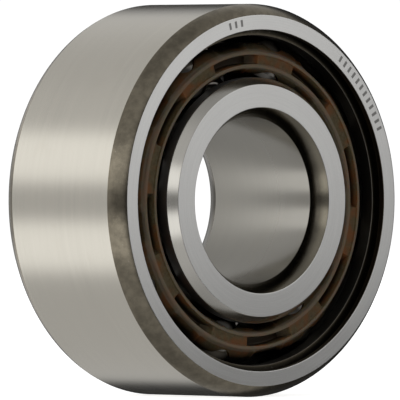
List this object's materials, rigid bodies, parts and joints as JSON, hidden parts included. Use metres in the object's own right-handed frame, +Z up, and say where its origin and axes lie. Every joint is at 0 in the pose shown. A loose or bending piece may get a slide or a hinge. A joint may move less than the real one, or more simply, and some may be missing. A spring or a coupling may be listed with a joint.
{
  "type": "double-row angular contact ball bearing",
  "caption": "Open double-row angular contact ball bearing with a plain bore: the inner ring, the snap cages and the balls turn inside the outer ring.",
  "frame": {"origin": "centre of the bearing: on its axis, midway between the two side faces", "axes": "+Y along the bearing's axis, from the front face to the rear face; +Z up; the bearing stands upright on its rim"},
  "size_m": [0.047, 0.0206, 0.047],
  "materials": {
    "outer_ring_steel": "ground and lightly oiled bearing steel, darker rough-turned corners",
    "inner_ring_steel": "ground bearing steel with a finely honed bore",
    "ball_steel": "lapped and polished bearing steel",
    "cage_polymer": "moulded brown glass-filled polymer, slightly translucent"
  },
  "bodies": {
    "outer_ring": {"outer_ring": "outer_ring_steel"},
    "inner_ring": {"inner_ring": "inner_ring_steel"},
    "front_cage": {"front_cage": "cage_polymer"},
    "rear_cage": {"rear_cage": "cage_polymer"},
    "front_ball_1": {"front_ball_1": "ball_steel"},
    "front_ball_2": {"front_ball_2": "ball_steel"},
    "front_ball_3": {"front_ball_3": "ball_steel"},
    "front_ball_4": {"front_ball_4": "ball_steel"},
    "front_ball_5": {"front_ball_5": "ball_steel"},
    "front_ball_6": {"front_ball_6": "ball_steel"},
    "front_ball_7": {"front_ball_7": "ball_steel"},
    "front_ball_8": {"front_ball_8": "ball_steel"},
    "rear_ball_1": {"rear_ball_1": "ball_steel"},
    "rear_ball_2": {"rear_ball_2": "ball_steel"},
    "rear_ball_3": {"rear_ball_3": "ball_steel"},
    "rear_ball_4": {"rear_ball_4": "ball_steel"},
    "rear_ball_5": {"rear_ball_5": "ball_steel"},
    "rear_ball_6": {"rear_ball_6": "ball_steel"},
    "rear_ball_7": {"rear_ball_7": "ball_steel"},
    "rear_ball_8": {"rear_ball_8": "ball_steel"}
  },
  "joints": [
    {"name": "inner_spin", "type": "hinge", "parent": "outer_ring", "child": "inner_ring", "pos_m": [0, 0, 0], "axis": [0, 1, 0], "continuous": true},
    {"name": "front_cage_spin", "type": "hinge", "parent": "outer_ring", "child": "front_cage", "pos_m": [0, -0.00427, 0], "axis": [0, 1, 0], "continuous": true},
    {"name": "rear_cage_spin", "type": "hinge", "parent": "outer_ring", "child": "rear_cage", "pos_m": [0, 0.00427, 0], "axis": [0, 1, 0], "continuous": true},
    {"name": "front_ball_1_spin", "type": "hinge", "parent": "front_cage", "child": "front_ball_1", "pos_m": [0.00382, -0.00427, 0.01641], "axis": [-0.1133, 0.866, -0.487], "continuous": true},
    {"name": "front_ball_2_spin", "type": "hinge", "parent": "front_cage", "child": "front_ball_2", "pos_m": [0.01431, -0.00427, 0.0089], "axis": [-0.4245, 0.866, -0.2642], "continuous": true},
    {"name": "front_ball_3_spin", "type": "hinge", "parent": "front_cage", "child": "front_ball_3", "pos_m": [0.01641, -0.00427, -0.00382], "axis": [-0.487, 0.866, 0.1133], "continuous": true},
    {"name": "front_ball_4_spin", "type": "hinge", "parent": "front_cage", "child": "front_ball_4", "pos_m": [0.0089, -0.00427, -0.01431], "axis": [-0.2642, 0.866, 0.4245], "continuous": true},
    {"name": "front_ball_5_spin", "type": "hinge", "parent": "front_cage", "child": "front_ball_5", "pos_m": [-0.00382, -0.00427, -0.01641], "axis": [0.1133, 0.866, 0.487], "continuous": true},
    {"name": "front_ball_6_spin", "type": "hinge", "parent": "front_cage", "child": "front_ball_6", "pos_m": [-0.01431, -0.00427, -0.0089], "axis": [0.4245, 0.866, 0.2642], "continuous": true},
    {"name": "front_ball_7_spin", "type": "hinge", "parent": "front_cage", "child": "front_ball_7", "pos_m": [-0.01641, -0.00427, 0.00382], "axis": [0.487, 0.866, -0.1133], "continuous": true},
    {"name": "front_ball_8_spin", "type": "hinge", "parent": "front_cage", "child": "front_ball_8", "pos_m": [-0.0089, -0.00427, 0.01431], "axis": [0.2642, 0.866, -0.4245], "continuous": true},
    {"name": "rear_ball_1_spin", "type": "hinge", "parent": "rear_cage", "child": "rear_ball_1", "pos_m": [0.00981, 0.00427, 0.0137], "axis": [0.2911, 0.866, 0.4066], "continuous": true},
    {"name": "rear_ball_2_spin", "type": "hinge", "parent": "rear_cage", "child": "rear_ball_2", "pos_m": [0.01662, 0.00427, 0.00275], "axis": [0.4933, 0.866, 0.0817], "continuous": true},
    {"name": "rear_ball_3_spin", "type": "hinge", "parent": "rear_cage", "child": "rear_ball_3", "pos_m": [0.0137, 0.00427, -0.00981], "axis": [0.4066, 0.866, -0.2911], "continuous": true},
    {"name": "rear_ball_4_spin", "type": "hinge", "parent": "rear_cage", "child": "rear_ball_4", "pos_m": [0.00275, 0.00427, -0.01662], "axis": [0.0817, 0.866, -0.4933], "continuous": true},
    {"name": "rear_ball_5_spin", "type": "hinge", "parent": "rear_cage", "child": "rear_ball_5", "pos_m": [-0.00981, 0.00427, -0.0137], "axis": [-0.2911, 0.866, -0.4066], "continuous": true},
    {"name": "rear_ball_6_spin", "type": "hinge", "parent": "rear_cage", "child": "rear_ball_6", "pos_m": [-0.01662, 0.00427, -0.00275], "axis": [-0.4933, 0.866, -0.0817], "continuous": true},
    {"name": "rear_ball_7_spin", "type": "hinge", "parent": "rear_cage", "child": "rear_ball_7", "pos_m": [-0.0137, 0.00427, 0.00981], "axis": [-0.4066, 0.866, 0.2911], "continuous": true},
    {"name": "rear_ball_8_spin", "type": "hinge", "parent": "rear_cage", "child": "rear_ball_8", "pos_m": [-0.00275, 0.00427, 0.01662], "axis": [-0.0817, 0.866, 0.4933], "continuous": true}
  ],
  "couplings": [
    {"joint": "front_cage_spin", "follows": "inner_spin", "ratio": 0.398},
    {"joint": "rear_cage_spin", "follows": "inner_spin", "ratio": 0.398},
    {"joint": "front_ball_1_spin", "follows": "inner_spin", "ratio": -2.0344},
    {"joint": "front_ball_2_spin", "follows": "inner_spin", "ratio": -2.0344},
    {"joint": "front_ball_3_spin", "follows": "inner_spin", "ratio": -2.0344},
    {"joint": "front_ball_4_spin", "follows": "inner_spin", "ratio": -2.0344},
    {"joint": "front_ball_5_spin", "follows": "inner_spin", "ratio": -2.0344},
    {"joint": "front_ball_6_spin", "follows": "inner_spin", "ratio": -2.0344},
    {"joint": "front_ball_7_spin", "follows": "inner_spin", "ratio": -2.0344},
    {"joint": "front_ball_8_spin", "follows": "inner_spin", "ratio": -2.0344},
    {"joint": "rear_ball_1_spin", "follows": "inner_spin", "ratio": -2.0344},
    {"joint": "rear_ball_2_spin", "follows": "inner_spin", "ratio": -2.0344},
    {"joint": "rear_ball_3_spin", "follows": "inner_spin", "ratio": -2.0344},
    {"joint": "rear_ball_4_spin", "follows": "inner_spin", "ratio": -2.0344},
    {"joint": "rear_ball_5_spin", "follows": "inner_spin", "ratio": -2.0344},
    {"joint": "rear_ball_6_spin", "follows": "inner_spin", "ratio": -2.0344},
    {"joint": "rear_ball_7_spin", "follows": "inner_spin", "ratio": -2.0344},
    {"joint": "rear_ball_8_spin", "follows": "inner_spin", "ratio": -2.0344}
  ]
}
